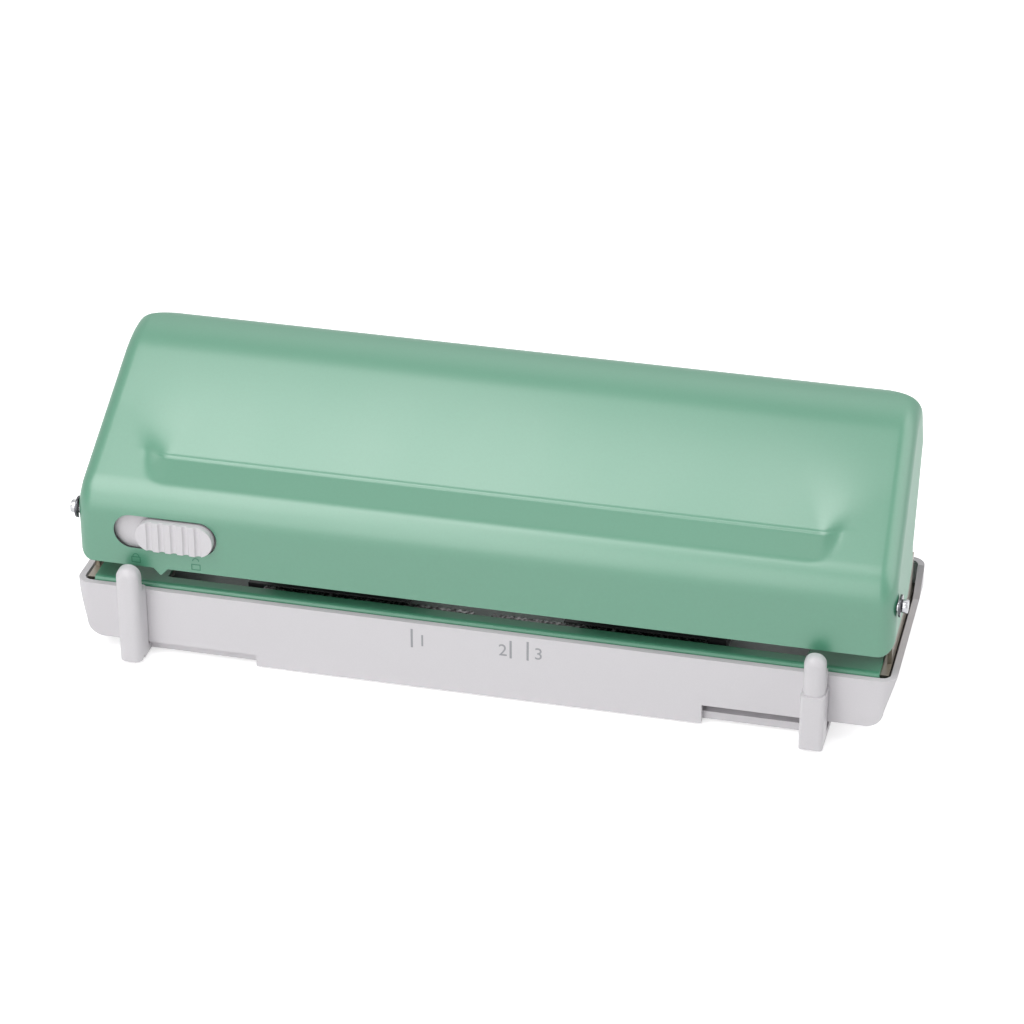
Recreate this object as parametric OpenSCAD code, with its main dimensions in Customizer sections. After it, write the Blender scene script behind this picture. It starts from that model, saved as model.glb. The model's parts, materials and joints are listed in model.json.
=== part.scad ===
// Adjustable six-hole desk punch: a pressed lever on a pair of pivot pins works two punch carriages
// that slide along a rod over a chip tray with two sliding paper guides.
// The working frame has Y = 0 at the tray's front wall and Z = 0 at the table.

/* [Base tray] */
// Length of the tray at its rim
tray_length = 276; // [264:1:300]
// Depth of the tray, front wall to rear wall
tray_depth = 68; // [66:1:80]
// Height of the rim at the front and sides
tray_height = 25; // [24.5:0.1:25.5]
// Height of the rear wall and its two corners
rear_wall_height = 33; // [29:0.5:36]
// Thickness of the tray walls and floor
tray_wall = 2.2; // [1.6:0.1:2.6]
// Underside of the tray floor above the table
floor_z = 8; // [7.6:0.1:9]
// How far the ends draw in from the rim down to the floor
end_draft = 3.4; // [0:0.1:4]
// Radius of the vertical corners, seen from above
corner_r = 5; // [3:0.5:8]
// Radius of the lower end corners, seen from the front
end_bottom_r = 6; // [2:0.5:8]
// Half length of the deep middle skirt
skirt_half = 75.5; // [60:0.5:90]
// Height of the skirt's lower edge above the table
skirt_z = 0.6; // [0.3:0.1:1.2]
// Height of the left end's lower edge
left_notch_z = 4.8; // [4.4:0.1:6.5]
// Height of the right end's lower edge
right_notch_z = 7.6; // [4.4:0.1:7.8]
// Diameter of a rubber foot
foot_d = 10; // [6:0.5:14]
// Height of a rubber foot
foot_h = 2.2; // [1.6:0.1:4]

/* [Bed and chassis] */
// Gap between the bed plate's ends and the tray's end walls
bed_end_gap = 3.6; // [3:0.1:7]
// Front edge of the bed plate behind the front wall
bed_front = 2.9; // [2.8:0.1:4]
// Thickness of the bed plate
bed_t = 1.2; // [0.8:0.1:1.6]
// Depth of the bed's strip in front of the slot
bed_strip = 5.7; // [5:0.1:8]
// Length of the slot in the bed
slot_length = 216; // [196:1:230]
// Height of the bent front lip of the bed
bed_lip = 5; // [2:0.5:8]
// Thickness of the chassis sheet
chassis_t = 1.5; // [1:0.1:2]
// Diameter of the rod that carries the carriages
rod_d = 6; // [4:0.5:7]
// Pitch of the rack teeth
rack_pitch = 2; // [1.5:0.1:4]
// Height of a rack tooth
rack_tooth = 1; // [0.5:0.1:1.2]
// Thickness of a rack bar without its teeth
rack_t = 1.2; // [0.8:0.1:1.4]

/* [Lever] */
// How far each end of the lever stands inside the end of the tray's rim
lever_inset = 1.5; // [0:0.1:2.5]
// How far each end draws in towards the top
lever_draft = 3; // [0:0.1:4]
// Thickness of the lever's sheet
sheet_t = 1; // [0.8:0.1:1.2]
// Lower edge of the lever above the table
lever_bottom = 33.7; // [32:0.1:35]
// Top of the lever's upright front face
lever_front_top = 53.7; // [52:0.1:58]
// Radius of the bend above the front face
front_bend_r = 10; // [6:0.5:14]
// Slope of the lever's main panel in degrees
panel_slope = 33; // [28:0.5:38]
// Length of the sloping panel between its bends
panel_length = 59; // [54:0.5:64]
// Radius of the bend along the top
top_bend_r = 14; // [8:0.5:18]
// Depth of the pressed recess at its crease
recess_depth = 3.2; // [1:0.1:4.5]
// Length of the pressed recess
recess_length = 222; // [120:1:240]
// Distance from the front bend up to the crease
crease_run = 12.5; // [8:0.5:22]
// Length of the recess along the panel
recess_run = 50; // [30:1:53]
// Radius of the upper corners, seen from the front
lever_corner_r = 10; // [4:0.5:14]
// Radius of the lower corners, seen from the front
lever_foot_r = 5; // [2:0.5:7]
// Diameter of the pivot pins
pivot_d = 4.4; // [3:0.1:5.4]
// Pivot axis behind the front wall
pivot_y = 6.5; // [6.3:0.1:8]
// Pivot axis above the table
pivot_z = 50; // [48:0.5:52]
// Full press of the lever in degrees
press_angle = 12; // [6:0.5:12]

/* [Lock] */
// Length of the lock slot
lock_slot_length = 34.6; // [28:0.1:38]
// Height of the lock slot
lock_slot_h = 11.2; // [8:0.1:12]
// Middle of the lock slot from the lever's left end
lock_inset = 30.9; // [30:0.1:40]
// Middle of the lock slot above the table
lock_z = 46.5; // [45.5:0.1:47.5]
// Travel of the lock
lock_travel = 7.6; // [4:0.1:9.1]
// Height of the thumb cap above the lever's face
lock_cap_h = 2.4; // [1:0.1:3]
// Number of grip grooves in the thumb cap
lock_grooves = 5; // [3:1:7]

/* [Paper guides] */
// Width of a guide finger
finger_w = 8; // [6:0.1:9]
// Front face of the guides ahead of the front wall
finger_front = 8.6; // [7.5:0.1:10]
// Height of the left finger's tip
left_finger_top = 36.4; // [30:0.1:40]
// Height of the right finger's tip
right_finger_top = 35.2; // [30:0.1:40]
// Outer edge of the left finger from the tray's left end
left_finger_inset = 17; // [14:0.5:22]
// Outer edge of the right finger from the tray's right end
right_finger_inset = 21.4; // [17:0.1:21.4]
// Height of the seam between the right sleeve and its peg
sleeve_top = 21; // [15:0.5:24]
// Width of a sliding guide bar
bar_w = 9; // [6:0.1:9]
// Thickness of a sliding guide bar
bar_t = 2.8; // [2:0.1:3]
// Length of a sliding guide bar
bar_length = 73; // [66:0.5:76]

/* [Punches] */
// Diameter of a punched hole
punch_d = 5.5; // [4.5:0.1:6]
// Distance from one punch to the next in a carriage
punch_pitch = 19; // [16:0.5:20]
// Middle punch of a carriage from the centre
carriage_x = 54; // [50:0.5:56]
// Punch line ahead of the tray's rear wall
punch_inset = 28; // [27:0.5:30]
// Distance from the paper stop to the punch line
hole_margin = 5.5; // [5:0.1:7]
// Height of the throat that takes the paper
throat_h = 3.2; // [2:0.1:4]
// Height of the upper jaw
jaw_h = 16; // [12:0.5:17]
// Length of a return spring at rest
spring_length = 12; // [10:0.5:14]
// Wire of a return spring
spring_wire = 0.9; // [0.5:0.1:0.9]
// Curls of a return spring
spring_curls = 4.5; // [3:0.5:4.5]
// Diameter of a punch cap
cap_d = 10.5; // [10:0.1:12]
// Thickness of a punch cap
cap_h = 3; // [2:0.1:4]
// Diameter of the press bar
press_bar_d = 6; // [4:0.5:8]

/* [Clearances] */
// Radial clearance of a pin or rod that turns or slides
run_fit = 0.08; // [0.03:0.01:0.1]
// Radial clearance of a pin that is fixed in its hole
press_gap = 0.02; // [0.01:0.01:0.05]
// Gap between faces that slide past each other
slide_gap = 0.3; // [0.2:0.05:0.4]

/* [Hidden] */
$fn = 48;

// A small overlap that makes cuts pass clean through
cut = 1;
white = [0.86, 0.86, 0.88];
green = [0.50, 0.69, 0.60];
steel = [0.62, 0.60, 0.57];
chrome = [0.80, 0.81, 0.83];
black = [0.12, 0.12, 0.13];

// Front face of the lever behind the tray's front wall
lever_front_y = 0.3;

// Tray
tray_half = tray_length / 2;
lever_length = tray_length - 2 * lever_inset;
punch_y = tray_depth - punch_inset;
tray_floor_top = floor_z + tray_wall;
end_floor_half = tray_half - end_draft;
// Least radius of the tray's inner corners
least_r = 0.5;
ear_run = 9;
ear_front = tray_depth - corner_r - ear_run;
foot_seat = 0.8;
foot_boss_wall = 2;
foot_boss_d = foot_d + 2 * foot_boss_wall;
foot_x = 46;
foot_front_y = 22;
foot_end_inset = 26;
foot_rear_inset = 12;
foot_rear_x = tray_half - foot_end_inset;
foot_rear_y = tray_depth - foot_rear_inset;

// Chassis plate and bed: the plate rests on the tray's posts and the bed lies on the plate
bed_proud = 1;
plate_side_gap = 0.8;
lip_gap = 0.4;
slot_rear_land = 6.5;
bed_top = tray_height + bed_proud;
bed_half = tray_half - tray_wall - bed_end_gap;
plate_top = bed_top - bed_t;
plate_bottom = plate_top - chassis_t;
plate_half = tray_half - tray_wall - plate_side_gap;
plate_front = bed_front + bed_t + lip_gap;
plate_rear = tray_depth - tray_wall - plate_side_gap;
slot_half = slot_length / 2;
slot_front = bed_front + bed_strip;
slot_rear = plate_rear - slot_rear_land;
post_d = 7;
post_inset = 10;
post_rear_inset = 2.9;
post_x = plate_half - post_inset;
post_front_y = plate_front + post_d / 2;
post_rear_y = plate_rear - post_rear_inset;
bed_screw_d = 2.4;
bed_screw_head_d = 4.6;
bed_screw_head_h = 1.1;
bed_screw_tip = 2;
bed_screw_x = [-96, -32, 32, 96];
bed_screw_y = (slot_rear + plate_rear) / 2;

// Racks lie along the slot's front edge, fixed to the plate's underside edge
rack_half_gap = 3;
rack_length = 73;
rack_drop = 0.4;
rack_below_plate = 3;
rack_setback = 0.3;
rack_lug_inset = 1;
rack_top = bed_top - rack_drop;
rack_bottom = plate_bottom - rack_below_plate;
rack_front = slot_front + rack_setback;
rack_back = rack_front + rack_t;
rack_tip = rack_back + rack_tooth;
rack_lug = 1.2;

// Carriage: a C-shaped block with the throat towards the front
rod_front_wall = 3.2;
rod_rear_wall = 2.2;
rod_drop = 1;
die_drop = 0.2;
die_above_rack = 1;
jaw_lead = 8;
carriage_end_wall = 5.25;
carriage_front = rack_tip + slide_gap;
paper_stop = punch_y + hole_margin;
rod_y = paper_stop + rod_front_wall + rod_d / 2;
carriage_rear = rod_y + rod_d / 2 + rod_rear_wall;
die_top = bed_top - die_drop;
die_bottom = rack_bottom + die_above_rack;
jaw_bottom = die_top + throat_h;
jaw_top = jaw_bottom + jaw_h;
jaw_front = punch_y - jaw_lead;
rod_z = (jaw_bottom + jaw_top) / 2 - rod_drop;
carriage_half = punch_pitch + punch_d / 2 + carriage_end_wall;
die_clearance = 0.08;
plunger_d = 3;
plunger_length = 5;
plunger_z = (die_top + die_bottom) / 2;
rod_clip_rim = 2;
rod_clip_d = rod_d + 2 * rod_clip_rim;
rod_clip_t = 0.8;

// Punches, caps and springs
tip_inset = 0.6;
spring_bore_gap = 0.85;
punch_tip = jaw_bottom + tip_inset;
cap_bottom = jaw_top + spring_length;
cap_top = cap_bottom + cap_h;
cap_socket = cap_h / 2;
spring_mean_r = punch_d / 2 + spring_bore_gap + spring_wire / 2;
spring_seat_gap = 0.05;
spring_rise = spring_length - 2 * spring_seat_gap - spring_wire;
spring_rings = 8;
spring_sides = 6;

// Lever profile in the Y and Z plane
lever_half = lever_length / 2;
bend_c = [lever_front_y + front_bend_r, lever_front_top];
panel_dir = [cos(panel_slope), sin(panel_slope)];
panel_normal = [-sin(panel_slope), cos(panel_slope)];
panel_start = bend_c + front_bend_r * panel_normal;
panel_end = panel_start + panel_length * panel_dir;
top_c = panel_end - top_bend_r * panel_normal;
lever_top = top_c[1] + top_bend_r;
lever_rear = top_c[0] + top_bend_r;
draft_lead = 2;
draft_start = lever_front_top + draft_lead;
draft_rate = lever_draft / (lever_top - draft_start);
rear_flange = 5;
rear_flange_z = top_c[1] - rear_flange;
crease = panel_start + crease_run * panel_dir - recess_depth * panel_normal;
// Flat between the front bend and the recess
recess_lead = 0.5;
recess_front = panel_start + recess_lead * panel_dir;
recess_top = panel_start + recess_run * panel_dir;
// The recess cut runs out past the panel's face at both edges
recess_front_out = beyond(crease, recess_front);
recess_top_out = beyond(crease, recess_top);
pivot = [pivot_y, pivot_z];
bar_cap_gap = 0.1;
bar_end_gap = 0.4;
bar_boss_wall = 2;
bar_boss_length = 5;
// How far a press bar boss goes past the bar's end, into the flange
bar_boss_sink = bar_end_gap + 0.2;
bar_axis = [punch_y, cap_top + press_bar_d / 2 + bar_cap_gap];
bar_boss_d = press_bar_d + 2 * bar_boss_wall;
bar_half = lever_half_at(bar_axis[1]) - sheet_t - bar_end_gap;
// Rear outline of the end flanges, from the lower front corner up to the rear edge
flange_outline = [[14, lever_bottom], [30, lever_bottom + 3.3], [40, 46], [38.5, 54],
    [lever_rear + cut, rear_flange_z]];

// End cheeks of the chassis
cheek_gap = 0.6;
cheek_rod_wall = 2.5;
cheek_top_angle = 20;
cheek_foot_angle = 60;
cheek_out = lever_half - sheet_t - cheek_gap;
cheek_in = cheek_out - chassis_t;
cheek_ring_r = pivot_y - sheet_t - lever_front_y - cheek_gap;
// The cheek's arm runs into the pivot eye a little inside the eye's rim
cheek_neck_r = cheek_ring_r - cheek_gap;
cheek_front = 12;
cheek_top = 41;
cheek_rear = rod_y + rod_d / 2 + cheek_rod_wall;

// Rod between the cheeks, stepped down at its ends
rod_end_gap = 0.1;
rod_step = 1;
rod_clip_inset = 4;
rod_half = cheek_in - rod_end_gap;
rod_seat = rod_half - rod_clip_inset;

// Pivot pins and clips
pin_flange_rim = 1.1;
pin_flange_d = pivot_d + 2 * pin_flange_rim;
pin_flange_t = 1.2;
pin_overhang = 3.2;
pin_end = lever_half + pin_overhang;
pivot_clip_rim = 1.5;
pivot_clip_d = pivot_d + 2 * pivot_clip_rim;
pivot_clip_t = 0.8;
pivot_clip_gap = 0.4;
pivot_clip_x = lever_half + pivot_clip_gap;
pivot_groove = 0.5;

// Lock
lock_x = lever_half - lock_inset;
lock_face_gap = 0.2;
lock_plate_left_lap = 1.1;
lock_plate_right_lap = 0.8;
lock_plate_lap = 1.5;
// Grip groove width as a part of the groove pitch
groove_share = 0.42;
lock_cap_length = lock_slot_length - lock_travel - 2 * lock_face_gap;
lock_cap_h_z = lock_slot_h - 2 * lock_face_gap;
lock_cap_x = -lock_x + (lock_slot_length - lock_cap_length) / 2 - lock_face_gap;
lock_plate_t = 1.2;
lock_plate_y = lever_front_y + sheet_t + lock_face_gap;
lock_plate_left = -lock_x - lock_slot_length / 2 - lock_plate_left_lap;
lock_plate_right = lock_cap_x + lock_cap_length / 2 + lock_travel + lock_plate_right_lap;
lock_plate_h = lock_slot_h + 2 * lock_plate_lap;
hook_t = 1;
hook_drop = 12;
hook_z = pivot_z - hook_drop;
hook_h = 4;
hook_w = 6;
hook_inset = 1.2;
hook_link_gap = 0.4;
hook_link_h = 1.2;
hook_x = lock_plate_left + hook_inset;
hook_link_z = hook_z + hook_h / 2 + hook_link_gap;
// The hook swings forward by this much when the lever is pressed
hook_swing = hook_drop * sin(press_angle);
hook_lap = 0.2;
hook_y = lock_plate_y + lock_plate_t + hook_swing - hook_lap;
keeper_gap = 0.35;
keeper_t = hook_swing - hook_t - 2 * keeper_gap;
keeper_y = hook_y - keeper_gap - keeper_t;
keeper_clear = 3.6;
keeper_tip = hook_x - keeper_clear;
keeper_root = 6;

// Paper guides
finger_back = -slide_gap;
finger_relief_y = -3.9;
finger_relief_drop = 6;
finger_relief_z = lever_bottom - finger_relief_drop;
finger_bottom = 1.2;
bar_z = finger_bottom;
bar_y = tray_wall + slide_gap;
left_finger_x = tray_half - left_finger_inset;
right_finger_x = tray_half - right_finger_inset - finger_w;
right_bar_x = right_finger_x + finger_w;
left_bar_x = -left_finger_x;
peg_spigot = 6;
rib_t = 1.5;
rib_y = bar_y + bar_w + slide_gap;
rib_start = 40;
rib_end_inset = 12;
keeper_inset = 9;
keeper_x = skirt_half - keeper_inset;
keeper_w = 9;
keeper_strip_t = 0.7;
keeper_boss_d = 7;
keeper_boss_y = rib_y + (rib_t + keeper_boss_d) / 2;
keeper_strip_lap = 2;
keeper_rear = keeper_boss_y + keeper_boss_d / 2 + keeper_strip_lap;
keeper_screw_d = 2.6;
keeper_screw_head_d = 5;
keeper_screw_head_h = 0.3;
keeper_screw_length = 5;

// The origin lies under the middle of the whole object
y_shift = -(lever_rear - finger_front) / 2;

// Half length of the lever's outside at a height
function lever_half_at(z) = lever_half - max(0, z - draft_start) * draft_rate;
// The point past b on the line from a, by the cut allowance
function beyond(a, b) = b + cut * (b - a) / norm(b - a);
// Place of punch number i of a carriage, counted from the left
function punch_x(side, i) = side * carriage_x + (i - 2) * punch_pitch;

// Points of a helical tube that stands on z = 0
function coil_angle(i) = 360 * i / spring_rings;
function coil_centre(i, r, rise) = [r * cos(coil_angle(i)), r * sin(coil_angle(i)), rise * i];
function coil_ring(i, r, rise, wire) = let (a = coil_angle(i), c = coil_centre(i, r, rise))
    [for (k = [0:spring_sides - 1]) let (b = 360 * k / spring_sides)
        c + wire / 2 * [cos(b) * cos(a), cos(b) * sin(a), sin(b)]];

// Least gap between the turns of a coil, measured from ring to ring at least half a turn apart
function coil_gap(count, r, rise, wire) = min([for (i = [0:count - 1], j = [i + spring_rings / 2:1:count])
    norm(coil_centre(i, r, rise) - coil_centre(j, r, rise)) - wire]);

// Draws a Y and Z outline as a plate from x0 to x1
module along_x(x0, x1) {
    translate([x0, 0, 0]) rotate([90, 0, 90]) linear_extrude(x1 - x0) children();
}

// Draws an X and Z outline as a plate from y0 to y1
module along_y(y0, y1) {
    translate([0, y1, 0]) rotate([90, 0, 0]) linear_extrude(y1 - y0) children();
}

// A round bar along X
module bar_x(x0, x1, d, y, z) {
    translate([x0, y, z]) rotate([0, 90, 0]) cylinder(h = x1 - x0, d = d);
}

// A round bar along X on the right for s = 1 or mirrored to the left for s = -1
module bar_side(s, x0, x1, d, y, z) {
    bar_x(min(s * x0, s * x1), max(s * x0, s * x1), d, y, z);
}

// A round bar along Z
module bar_zz(z0, z1, d, x, y) {
    translate([x, y, z0]) cylinder(h = z1 - z0, d = d);
}

// A block between two corners
module block(a, b) {
    translate(a) cube(b - a);
}

// A flat shape with half-round ends, along the first axis
module stadium(length, height) {
    square([length - height, height], center = true);
    for (s = [-1, 1]) translate([s * (length - height) / 2, 0]) circle(d = height);
}

// A rectangle with round corners, from the origin
module round_rect(x, y, r) {
    translate([r, 0]) square([x - 2 * r, y]);
    translate([0, r]) square([x, y - 2 * r]);
    for (i = [r, x - r], j = [r, y - r]) translate([i, j]) circle(r = r);
}

// Puts a piece at the object's own origin
module placed() {
    translate([0, y_shift, 0]) children();
}

// Outline of the tray from the front, drawn in by inset, with a lower edge at each end
module tray_front(inset, left_z, right_z) {
    r = max(end_bottom_r - inset, least_r);
    low = end_floor_half - inset;
    polygon([[-tray_half + inset, rear_wall_height + cut], [-tray_half + inset, tray_height],
        [-low, left_z + r], [-low + r, left_z], [-skirt_half, left_z],
        [skirt_half, right_z], [low - r, right_z], [low, right_z + r],
        [tray_half - inset, tray_height], [tray_half - inset, rear_wall_height + cut]]);
    translate([-low + r, left_z + r]) circle(r = r);
    translate([low - r, right_z + r]) circle(r = r);
}

// Outline of the tray from above, drawn in by inset
module tray_plan(inset) {
    translate([-tray_half + inset, inset])
        round_rect(tray_length - 2 * inset, tray_depth - 2 * inset, max(corner_r - inset, least_r));
}

// The tray's outside: a deep middle skirt and two raised ends
module tray_outside() {
    intersection() {
        along_y(0, tray_depth) union() {
            tray_front(0, left_notch_z, right_notch_z);
            translate([-skirt_half, skirt_z]) square([2 * skirt_half, floor_z]);
        }
        translate([0, 0, -cut]) linear_extrude(rear_wall_height + 2 * cut) tray_plan(0);
    }
}

// The space inside the tray above its floor
module tray_inside() {
    intersection() {
        along_y(0, tray_depth) tray_front(tray_wall, tray_floor_top, tray_floor_top);
        translate([0, 0, -cut]) linear_extrude(rear_wall_height + 3 * cut) tray_plan(tray_wall);
    }
}

// What is cut away above the side walls and the front wall
module tray_rim_cut() {
    along_x(-tray_half - cut, tray_half + cut) polygon([[-cut, tray_height], [ear_front, tray_height],
        [ear_front + ear_run, rear_wall_height], [tray_depth + cut, rear_wall_height],
        [tray_depth + cut, rear_wall_height + 3 * cut], [-cut, rear_wall_height + 3 * cut]]);
}

// The hollow under the tray floor
module tray_underside() {
    intersection() {
        along_y(tray_wall, tray_depth - tray_wall) union() {
            translate([-skirt_half + tray_wall, -cut]) square([2 * (skirt_half - tray_wall), floor_z + cut]);
            translate([-end_floor_half + 2 * tray_wall, -cut])
                square([2 * (end_floor_half - 2 * tray_wall), floor_z + cut]);
        }
        translate([0, 0, -cut]) linear_extrude(floor_z + cut) tray_plan(tray_wall);
    }
}

// A rib under the tray floor on one side, from rib_start out to x
module rib(s, x, y, z) {
    block([min(s * rib_start, s * x), y, z], [max(s * rib_start, s * x), y + rib_t, floor_z + cut]);
}

// Ribs, posts and bosses of the tray
module tray_fittings() {
    for (s = [-1, 1]) {
        for (y = [post_front_y, post_rear_y]) bar_zz(floor_z, plate_bottom, post_d, s * post_x, y);
        bar_zz(foot_h - foot_seat, floor_z + cut, foot_boss_d, s * foot_x, foot_front_y);
        bar_zz(foot_h - foot_seat, floor_z + cut, foot_boss_d, s * foot_rear_x, foot_rear_y);
        rib(s, keeper_x, rib_y, bar_z);
        rib(s, end_floor_half - rib_end_inset, bar_y + (bar_w - rib_t) / 2, bar_z + bar_t + slide_gap);
        bar_zz(bar_z, floor_z + cut, keeper_boss_d, s * keeper_x, keeper_boss_y);
    }
}

module base_tray() {
    color(white) placed() difference() {
        union() {
            difference() {
                tray_outside();
                tray_inside();
                tray_rim_cut();
                tray_underside();
            }
            tray_fittings();
        }
        for (s = [-1, 1]) {
            bar_zz(-cut, foot_h, foot_d + 2 * press_gap, s * foot_x, foot_front_y);
            bar_zz(-cut, foot_h, foot_d + 2 * press_gap, s * foot_rear_x, foot_rear_y);
            bar_zz(-cut, bar_z + keeper_screw_length, keeper_screw_d + 2 * press_gap,
                s * keeper_x, keeper_boss_y);
        }
    }
}

module rubber_feet() {
    color(black) placed() for (s = [-1, 1]) {
        bar_zz(0, foot_h, foot_d, s * foot_x, foot_front_y);
        bar_zz(0, foot_h, foot_d, s * foot_rear_x, foot_rear_y);
    }
}

// Steel strips under the tray that hold the guide bars up
module guide_keepers() {
    color(steel) placed() for (s = [-1, 1]) difference() {
        block([s * keeper_x - keeper_w / 2, tray_wall + slide_gap, bar_z - keeper_strip_t],
            [s * keeper_x + keeper_w / 2, keeper_rear, bar_z]);
        bar_zz(-cut, bar_z + cut, keeper_screw_d + 2 * press_gap, s * keeper_x, keeper_boss_y);
    }
}

module keeper_screws() {
    color(steel) placed() for (s = [-1, 1]) {
        bar_zz(bar_z - keeper_strip_t, bar_z + keeper_screw_length, keeper_screw_d,
            s * keeper_x, keeper_boss_y);
        bar_zz(bar_z - keeper_strip_t - keeper_screw_head_h, bar_z - keeper_strip_t, keeper_screw_head_d,
            s * keeper_x, keeper_boss_y);
    }
}

// One end cheek of the chassis with its pivot eye and rod hole
module cheek(s) {
    x0 = s > 0 ? cheek_in : -cheek_out;
    along_x(x0, x0 + chassis_t) difference() {
        union() {
            polygon([[cheek_front, plate_bottom], [cheek_rear, plate_bottom], [cheek_rear, cheek_top],
                [punch_y, cheek_top],
                pivot + cheek_neck_r * [sin(cheek_top_angle), cos(cheek_top_angle)], pivot,
                pivot + cheek_neck_r * [cos(cheek_foot_angle), -sin(cheek_foot_angle)]]);
            translate(pivot) circle(r = cheek_ring_r);
        }
        translate(pivot) circle(r = pivot_d / 2 + press_gap);
        translate([rod_y, rod_z]) circle(r = rod_d / 2 - rod_step);
    }
}

module chassis() {
    color(steel) placed() union() {
        difference() {
            block([-plate_half, plate_front, plate_bottom], [plate_half, plate_rear, plate_top]);
            block([-slot_half, slot_front, plate_bottom - cut], [slot_half, slot_rear, plate_top + cut]);
            for (x = bed_screw_x)
                bar_zz(plate_bottom - cut, plate_top + cut, bed_screw_d + 2 * press_gap, x, bed_screw_y);
        }
        for (s = [-1, 1]) cheek(s);
    }
}

module bed_plate() {
    color(green) placed() difference() {
        union() {
            block([-bed_half, bed_front, plate_top], [bed_half, plate_rear, bed_top]);
            block([-bed_half, bed_front, bed_top - bed_lip], [bed_half, bed_front + bed_t, bed_top]);
        }
        block([-slot_half, slot_front, plate_top - cut], [slot_half, slot_rear, bed_top + cut]);
        for (x = bed_screw_x)
            bar_zz(plate_top - cut, bed_top + cut, bed_screw_d + 2 * press_gap, x, bed_screw_y);
    }
}

module bed_screws() {
    color(steel) placed() for (x = bed_screw_x) {
        bar_zz(plate_bottom - bed_screw_tip, bed_top, bed_screw_d, x, bed_screw_y);
        bar_zz(bed_top, bed_top + bed_screw_head_h, bed_screw_head_d, x, bed_screw_y);
    }
}

// A toothed bar under the slot's front edge, from x0 towards +X
module rack(x0) {
    count = floor(rack_length / rack_pitch);
    teeth = [for (i = [count - 1:-1:0], e = [[0.75, 1], [0.25, 1], [0, 0]])
        [(i + e[0]) * rack_pitch, rack_back + e[1] * rack_tooth]];
    color(black) placed() translate([x0, 0, 0]) {
        translate([0, 0, rack_bottom]) linear_extrude(rack_top - rack_bottom)
            polygon(concat([[0, rack_front], [count * rack_pitch, rack_front],
                [count * rack_pitch, rack_back]], teeth));
        block([0, plate_front + rack_lug_inset, plate_bottom - rack_lug],
            [count * rack_pitch, rack_front + rack_t / 2, plate_bottom]);
    }
}

module left_rack() {
    rack(-rack_half_gap - floor(rack_length / rack_pitch) * rack_pitch);
}

module right_rack() {
    rack(rack_half_gap);
}

// The rod stands between the cheeks on two narrowed ends
module guide_rod() {
    color(chrome) placed() {
        bar_x(-rod_half, rod_half, rod_d, rod_y, rod_z);
        bar_x(-cheek_out, cheek_out, rod_d - 2 * rod_step - 2 * press_gap, rod_y, rod_z);
    }
}

module rod_clips() {
    color(black) placed() for (s = [-1, 1]) difference() {
        bar_x(s * rod_seat - rod_clip_t / 2, s * rod_seat + rod_clip_t / 2, rod_clip_d, rod_y, rod_z);
        bar_x(s * rod_seat - cut, s * rod_seat + cut, rod_d + 2 * press_gap, rod_y, rod_z);
    }
}

// A pivot pin with a flange inside the cheek and a clip groove outside the lever
module pivot_pin(s) {
    color(chrome) placed() difference() {
        union() {
            bar_side(s, cheek_in, pin_end, pivot_d, pivot_y, pivot_z);
            bar_side(s, cheek_in - pin_flange_t, cheek_in, pin_flange_d, pivot_y, pivot_z);
        }
        difference() {
            bar_side(s, pivot_clip_x, pivot_clip_x + pivot_clip_t, pivot_d + cut, pivot_y, pivot_z);
            bar_x(-pin_end, pin_end, pivot_d - 2 * pivot_groove, pivot_y, pivot_z);
        }
    }
}

module left_pivot_pin() {
    pivot_pin(-1);
}

module right_pivot_pin() {
    pivot_pin(1);
}

module pivot_clips() {
    x0 = pivot_clip_x + press_gap;
    x1 = pivot_clip_x + pivot_clip_t - press_gap;
    color(chrome) placed() for (s = [-1, 1]) difference() {
        bar_side(s, x0, x1, pivot_clip_d, pivot_y, pivot_z);
        bar_side(s, x0 - cut, x1 + cut, pivot_d - 2 * pivot_groove + 2 * press_gap, pivot_y, pivot_z);
    }
}

// The tab on the left cheek that holds the lock's hook when the lever is down
module lock_keeper() {
    color(steel) placed() {
        block([-cheek_in, keeper_y, hook_z - hook_h / 2],
            [keeper_tip, keeper_y + keeper_t, hook_z + hook_h / 2]);
        block([-cheek_in, keeper_y, hook_z - hook_h / 2],
            [-cheek_in + keeper_t, cheek_front + keeper_root, hook_z + hook_h / 2]);
    }
}

// The lever's section, filled, drawn in by inset
module lever_loaf(inset) {
    front = lever_front_y + inset;
    rear = lever_rear - inset;
    r1 = front_bend_r - inset;
    r2 = top_bend_r - inset;
    polygon([[front, 0], [front, bend_c[1]], bend_c + r1 * panel_normal, top_c + r2 * panel_normal,
        top_c + r2 * [0, 1], top_c, [rear, top_c[1]], [rear, 0]]);
    translate(bend_c) circle(r = r1);
    translate(top_c) circle(r = r2);
}

// The lever's outline from the front, drawn in by inset and open below
module lever_front(inset) {
    zc = lever_top - lever_corner_r;
    wc = lever_half_at(zc) - inset;
    r = lever_corner_r - inset;
    w = lever_half - inset;
    polygon([[-w, lever_bottom - cut], [-w, draft_start], [-wc, zc], [-wc + r, zc + r], [wc - r, zc + r],
        [wc, zc], [w, draft_start], [w, lever_bottom - cut]]);
    for (s = [-1, 1]) translate([s * (wc - r), zc]) circle(r = r);
}

// The lower edge of the lever from the front, with its two round corners
module lever_foot() {
    translate([-lever_half, lever_bottom]) round_rect(lever_length, 2 * lever_top, lever_foot_r);
}

module lever_solid(inset) {
    intersection() {
        along_x(-lever_half, lever_half) lever_loaf(inset);
        along_y(-cut, lever_rear + cut) lever_front(inset);
    }
}

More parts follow.
